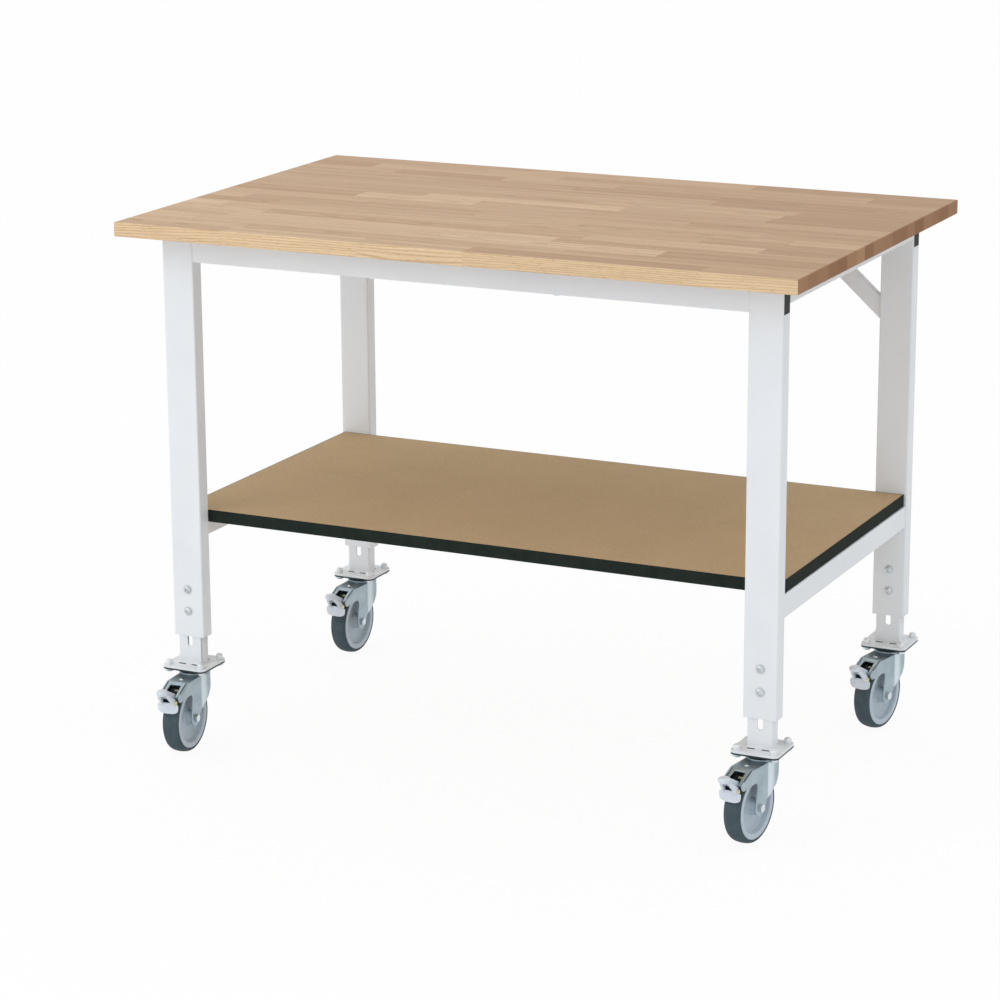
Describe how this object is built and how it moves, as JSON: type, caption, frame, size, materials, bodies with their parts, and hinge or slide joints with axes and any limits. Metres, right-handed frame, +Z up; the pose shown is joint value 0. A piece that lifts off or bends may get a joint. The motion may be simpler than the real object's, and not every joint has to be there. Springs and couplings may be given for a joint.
{
  "type": "mobile workbench",
  "caption": "Mobile workbench: thick solid wood worktop on a tubular steel frame with height-adjustable feet, a lower shelf and braked swivel casters.",
  "frame": {"origin": "on the floor, below the middle of the bench's bounding box", "axes": "+X to the bench's right, +Y to its rear (the side with the knee braces), +Z up"},
  "size_m": [1.25, 0.8482, 0.96],
  "materials": {
    "beech": "oiled, satin",
    "white_steel": "light grey-white powder coat, satin",
    "fibreboard": "bare, matte",
    "black_edging": "matte edging",
    "black_plastic": "moulded, matte",
    "zinc_fasteners": "bright zinc plated",
    "zinc_sheet": "blue zinc plated pressed steel",
    "yellow_zinc": "yellow zinc plated",
    "grey_rim": "moulded, satin",
    "tyre": "smooth moulded, matte",
    "pale_plastic": "moulded, glossy"
  },
  "bodies": {
    "frame": {"tabletop": "beech", "front_rail": "white_steel", "rear_rail": "white_steel", "left_top_rail": "white_steel", "right_top_rail": "white_steel", "left_shelf_rail": "white_steel", "right_shelf_rail": "white_steel", "left_brace": "white_steel", "right_brace": "white_steel", "rail_end_caps": "black_plastic", "tabletop_screws": "zinc_fasteners", "shelf_board": "fibreboard", "shelf_edge_band": "black_edging", "shelf_screws": "zinc_fasteners", "leg_bolts": "zinc_fasteners", "leg_nuts": "zinc_fasteners", "outer_leg_fl": "white_steel", "outer_leg_fr": "white_steel", "outer_leg_rl": "white_steel", "outer_leg_rr": "white_steel"},
    "foot_fl": {"foot_fl": "white_steel", "caster_plate_fl": "zinc_sheet", "plate_bolts_fl": "zinc_fasteners"},
    "fork_fl": {"fork_fl": "zinc_sheet", "swivel_ring_fl": "zinc_sheet", "axle_fl": "zinc_fasteners"},
    "wheel_fl": {"rim_fl": "grey_rim", "tyre_fl": "tyre"},
    "pedal_fl": {"pedal_fl": "pale_plastic", "brake_shoe_fl": "yellow_zinc"},
    "foot_fr": {"foot_fr": "white_steel", "caster_plate_fr": "zinc_sheet", "plate_bolts_fr": "zinc_fasteners"},
    "fork_fr": {"fork_fr": "zinc_sheet", "swivel_ring_fr": "zinc_sheet", "axle_fr": "zinc_fasteners"},
    "wheel_fr": {"rim_fr": "grey_rim", "tyre_fr": "tyre"},
    "pedal_fr": {"pedal_fr": "pale_plastic", "brake_shoe_fr": "yellow_zinc"},
    "foot_rl": {"foot_rl": "white_steel", "caster_plate_rl": "zinc_sheet", "plate_bolts_rl": "zinc_fasteners"},
    "fork_rl": {"fork_rl": "zinc_sheet", "swivel_ring_rl": "zinc_sheet", "axle_rl": "zinc_fasteners"},
    "wheel_rl": {"rim_rl": "grey_rim", "tyre_rl": "tyre"},
    "pedal_rl": {"pedal_rl": "pale_plastic", "brake_shoe_rl": "yellow_zinc"},
    "foot_rr": {"foot_rr": "white_steel", "caster_plate_rr": "zinc_sheet", "plate_bolts_rr": "zinc_fasteners"},
    "fork_rr": {"fork_rr": "zinc_sheet", "swivel_ring_rr": "zinc_sheet", "axle_rr": "zinc_fasteners"},
    "wheel_rr": {"rim_rr": "grey_rim", "tyre_rr": "tyre"},
    "pedal_rr": {"pedal_rr": "pale_plastic", "brake_shoe_rr": "yellow_zinc"}
  },
  "joints": [
    {"name": "height_fl", "type": "slide", "parent": "frame", "child": "foot_fl", "axis": [0, 0, 1], "range_m": [-0.1, 0.045]},
    {"name": "swivel_fl", "type": "hinge", "parent": "foot_fl", "child": "fork_fl", "pos_m": [-0.545, -0.28786, 0.1385], "axis": [0, 0, 1], "continuous": true},
    {"name": "wheel_spin_fl", "type": "hinge", "parent": "fork_fl", "child": "wheel_fl", "pos_m": [-0.54208, -0.32955, 0.0625], "axis": [0.9976, 0.0698, 0], "continuous": true},
    {"name": "brake_fl", "type": "hinge", "parent": "fork_fl", "child": "pedal_fl", "pos_m": [-0.53832, -0.38341, 0.11556], "axis": [0.9976, 0.0698, 0], "range_deg": [-22, 0]},
    {"name": "height_fr", "type": "slide", "parent": "frame", "child": "foot_fr", "axis": [0, 0, 1], "range_m": [-0.1, 0.045]},
    {"name": "swivel_fr", "type": "hinge", "parent": "foot_fr", "child": "fork_fr", "pos_m": [0.545, -0.28786, 0.1385], "axis": [0, 0, 1], "continuous": true},
    {"name": "wheel_spin_fr", "type": "hinge", "parent": "fork_fr", "child": "wheel_fr", "pos_m": [0.53918, -0.32925, 0.0625], "axis": [0.9903, -0.1392, 0], "continuous": true},
    {"name": "brake_fr", "type": "hinge", "parent": "fork_fr", "child": "pedal_fr", "pos_m": [0.53167, -0.38272, 0.11556], "axis": [0.9903, -0.1392, 0], "range_deg": [-22, 0]},
    {"name": "height_rl", "type": "slide", "parent": "frame", "child": "foot_rl", "axis": [0, 0, 1], "range_m": [-0.1, 0.045]},
    {"name": "swivel_rl", "type": "hinge", "parent": "foot_rl", "child": "fork_rl", "pos_m": [-0.545, 0.35214, 0.1385], "axis": [0, 0, 1], "continuous": true},
    {"name": "wheel_spin_rl", "type": "hinge", "parent": "fork_rl", "child": "wheel_rl", "pos_m": [-0.54573, 0.31035, 0.0625], "axis": [0.9998, -0.0175, 0], "continuous": true},
    {"name": "brake_rl", "type": "hinge", "parent": "fork_rl", "child": "pedal_rl", "pos_m": [-0.54667, 0.25637, 0.11556], "axis": [0.9998, -0.0175, 0], "range_deg": [-22, 0]},
    {"name": "height_rr", "type": "slide", "parent": "frame", "child": "foot_rr", "axis": [0, 0, 1], "range_m": [-0.1, 0.045]},
    {"name": "swivel_rr", "type": "hinge", "parent": "foot_rr", "child": "fork_rr", "pos_m": [0.545, 0.35214, 0.1385], "axis": [0, 0, 1], "continuous": true},
    {"name": "wheel_spin_rr", "type": "hinge", "parent": "fork_rr", "child": "wheel_rr", "pos_m": [0.53774, 0.31098, 0.0625], "axis": [0.9848, -0.1736, 0], "continuous": true},
    {"name": "brake_rr", "type": "hinge", "parent": "fork_rr", "child": "pedal_rr", "pos_m": [0.52837, 0.25781, 0.11556], "axis": [0.9848, -0.1736, 0], "range_deg": [-22, 0]}
  ]
}
